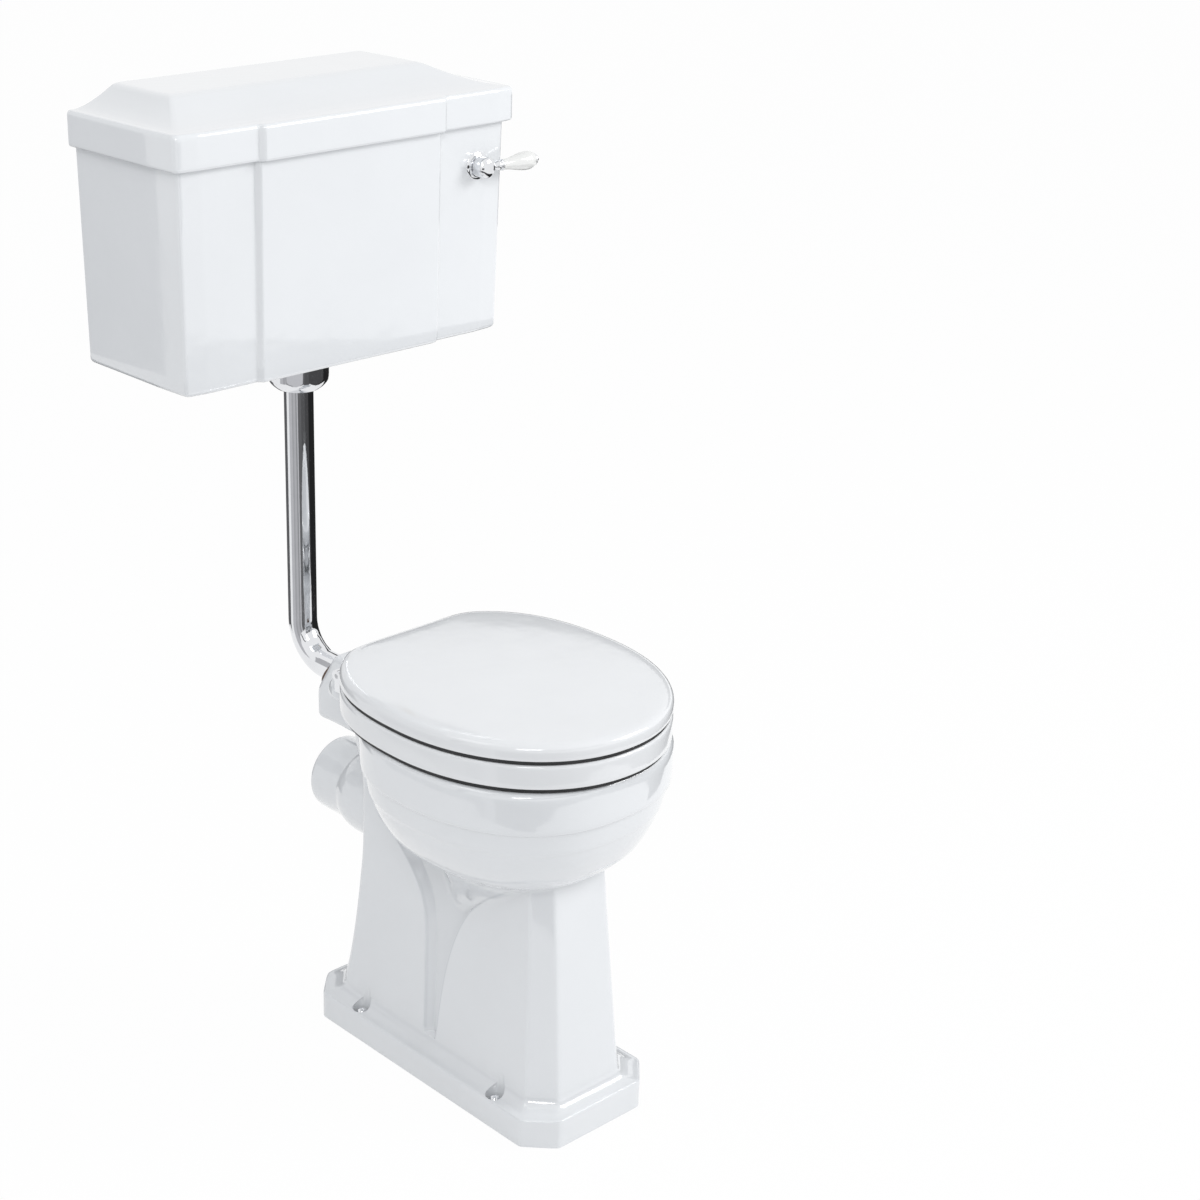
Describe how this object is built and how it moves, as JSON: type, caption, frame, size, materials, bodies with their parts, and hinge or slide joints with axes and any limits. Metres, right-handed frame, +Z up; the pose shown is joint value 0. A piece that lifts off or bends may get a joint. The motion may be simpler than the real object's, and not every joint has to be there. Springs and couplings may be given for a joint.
{
  "type": "low level toilet",
  "caption": "Floor-standing low level toilet: canted pedestal pan, wall cistern with lever, flush pipe, hinged seat and lid, siphon and float valve.",
  "frame": {"origin": "on the floor, in the middle of the four floor screws", "axes": "+Z up, -Y to the front, +Y to the wall, +X to the right seen from the front"},
  "size_m": [0.5515, 0.7111, 1.2046],
  "materials": {
    "glaze": "high gloss glaze",
    "handle": "gloss glaze",
    "seat": "gloss",
    "chrome": "mirror",
    "steel": "satin",
    "brass": "satin",
    "rubber": "matt",
    "cone": "matt",
    "nylon": "satin",
    "siphon": "satin",
    "float": "satin"
  },
  "bodies": {
    "pan": {"pan": "glaze", "floor_screw_washers": "rubber", "floor_screw_caps": "chrome", "flush_cone": "cone", "flush_pipe": "chrome", "coupling_nut": "chrome", "coupling_seal": "rubber", "siphon_backnut": "nylon", "siphon_seal": "rubber", "siphon_body": "siphon", "cistern_tank": "glaze", "lever_rose": "chrome", "lever_bush": "brass", "lever_bush_nut": "brass", "valve_body": "brass", "valve_backnut": "brass", "valve_seal": "rubber", "arm_pin": "steel", "hinge_posts": "chrome", "hinge_bolts": "steel", "hinge_pad_seals": "rubber", "hinge_wing_nuts": "nylon", "hinge_nut_washers": "nylon"},
    "seat": {"seat_ring": "seat", "seat_buffers": "nylon", "seat_arms": "chrome", "hinge_pins": "steel"},
    "lid": {"seat_lid": "seat", "lid_buffers": "nylon", "lid_arms": "chrome"},
    "lever": {"lever_spindle": "chrome", "lever_neck": "chrome", "lever_handle": "handle", "lever_end_cap": "chrome", "lever_crank": "brass", "crank_screw": "steel"},
    "plunger": {"siphon_rod": "brass", "siphon_plunger": "siphon", "siphon_flap": "rubber", "lift_link": "brass"},
    "float": {"float_arm": "brass", "float_ball": "float"},
    "valve": {"valve_piston": "brass", "piston_washer": "rubber"},
    "cistern_top": {"cistern_lid": "glaze"}
  },
  "joints": [
    {"name": "seat_hinge", "type": "hinge", "parent": "pan", "child": "seat", "pos_m": [0, 0.1495, 0.516], "axis": [-1, 0, 0], "range_deg": [0, 92]},
    {"name": "lid_hinge", "type": "hinge", "parent": "seat", "child": "lid", "pos_m": [0, 0.1495, 0.516], "axis": [1, 0, 0], "range_deg": [-92, 0]},
    {"name": "lever_turn", "type": "hinge", "parent": "pan", "child": "lever", "pos_m": [0.203, 0.2424, 1.0873], "axis": [0, 1, 0], "range_deg": [0, 24]},
    {"name": "plunger_rise", "type": "slide", "parent": "pan", "child": "plunger", "axis": [0, 0, 1], "range_m": [0, 0.05]},
    {"name": "float_drop", "type": "hinge", "parent": "pan", "child": "float", "pos_m": [0.147, 0.39, 1.076], "axis": [0, -1, 0], "range_deg": [0, 25]},
    {"name": "valve_open", "type": "slide", "parent": "pan", "child": "valve", "axis": [-1, 0, 0], "range_m": [0, 0.003]},
    {"name": "lid_lift", "type": "slide", "parent": "pan", "child": "cistern_top", "axis": [0, 0, 1], "range_m": [0, 0.12]}
  ],
  "couplings": [
    {"joint": "plunger_rise", "follows": "lever_turn", "m_per_rad": 0.11937},
    {"joint": "valve_open", "follows": "float_drop", "m_per_rad": 0.006875}
  ]
}
